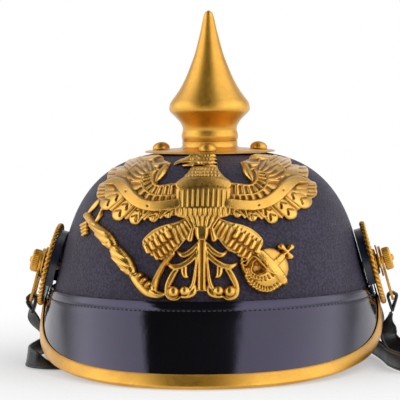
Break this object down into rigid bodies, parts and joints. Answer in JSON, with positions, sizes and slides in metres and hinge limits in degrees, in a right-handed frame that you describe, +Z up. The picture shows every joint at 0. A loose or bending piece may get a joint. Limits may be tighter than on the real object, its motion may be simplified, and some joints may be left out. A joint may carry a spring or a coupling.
{
  "type": "spiked parade helmet",
  "caption": "Spiked leather parade helmet with front and rear visors, eagle front plate, cockades, chin strap on swinging bails, and a lift-off spike.",
  "frame": {"origin": "on the table that the helmet stands on, straight under the spike's axis", "axes": "+Z up along the spike, -Y to the front of the helmet, +X to the right as seen from the front"},
  "size_m": [0.2807, 0.3138, 0.236],
  "materials": {
    "shell_leather": "matt, pebble-grained",
    "patent_leather": "glossy black",
    "brass": "satin, gilded",
    "inner_brass": "dull",
    "navy_enamel": "satin dark blue",
    "strap_leather": "smooth black",
    "band_leather": "worn brown",
    "lining_leather": "thin tan",
    "cord": "twisted linen"
  },
  "bodies": {
    "helmet": {"shell": "shell_leather", "front_visor": "patent_leather", "rear_visor": "patent_leather", "front_visor_trim": "brass", "rear_spine": "brass", "spine_studs": "brass", "spine_nuts": "inner_brass", "base_plate": "brass", "base_studs": "brass", "base_stud_nuts": "inner_brass", "eagle_plate": "brass", "eagle_lugs": "inner_brass", "eagle_nuts": "inner_brass", "cockade_left": "navy_enamel", "cockade_right": "navy_enamel", "cockade_cord_left": "brass", "cockade_cord_right": "brass", "rosette_left": "brass", "rosette_right": "brass", "flange_left": "brass", "flange_right": "brass", "post_left": "inner_brass", "post_right": "inner_brass", "post_nuts": "inner_brass", "knob_left": "brass", "knob_right": "brass", "strap_left": "strap_leather", "strap_right": "strap_leather", "strap_buckle": "brass", "strap_keepers": "strap_leather", "sweatband": "band_leather", "liner_tongues": "lining_leather", "liner_drawcord": "cord"},
    "spike": {"spike": "brass", "spike_spigot": "inner_brass"},
    "bail_left": {"bail_left": "brass"},
    "bail_right": {"bail_right": "brass"},
    "vent_shutter": {"vent_shutter": "brass"}
  },
  "joints": [
    {"name": "spike_lift", "type": "slide", "parent": "helmet", "child": "spike", "axis": [0, 0, 1], "range_m": [0, 0.012]},
    {"name": "bail_left_swing", "type": "hinge", "parent": "helmet", "child": "bail_left", "pos_m": [-0.10276, 0, 0.063], "axis": [-0.9649, 0, 0.2625], "range_deg": [-60, 60], "deforming": ["strap_left"]},
    {"name": "bail_right_swing", "type": "hinge", "parent": "helmet", "child": "bail_right", "pos_m": [0.10276, 0, 0.063], "axis": [0.9649, 0, 0.2625], "range_deg": [-60, 60], "deforming": ["strap_right"]},
    {"name": "vent_shutter_slide", "type": "slide", "parent": "helmet", "child": "vent_shutter", "axis": [0, -0.5557, 0.8314], "range_m": [0, 0.008]}
  ]
}
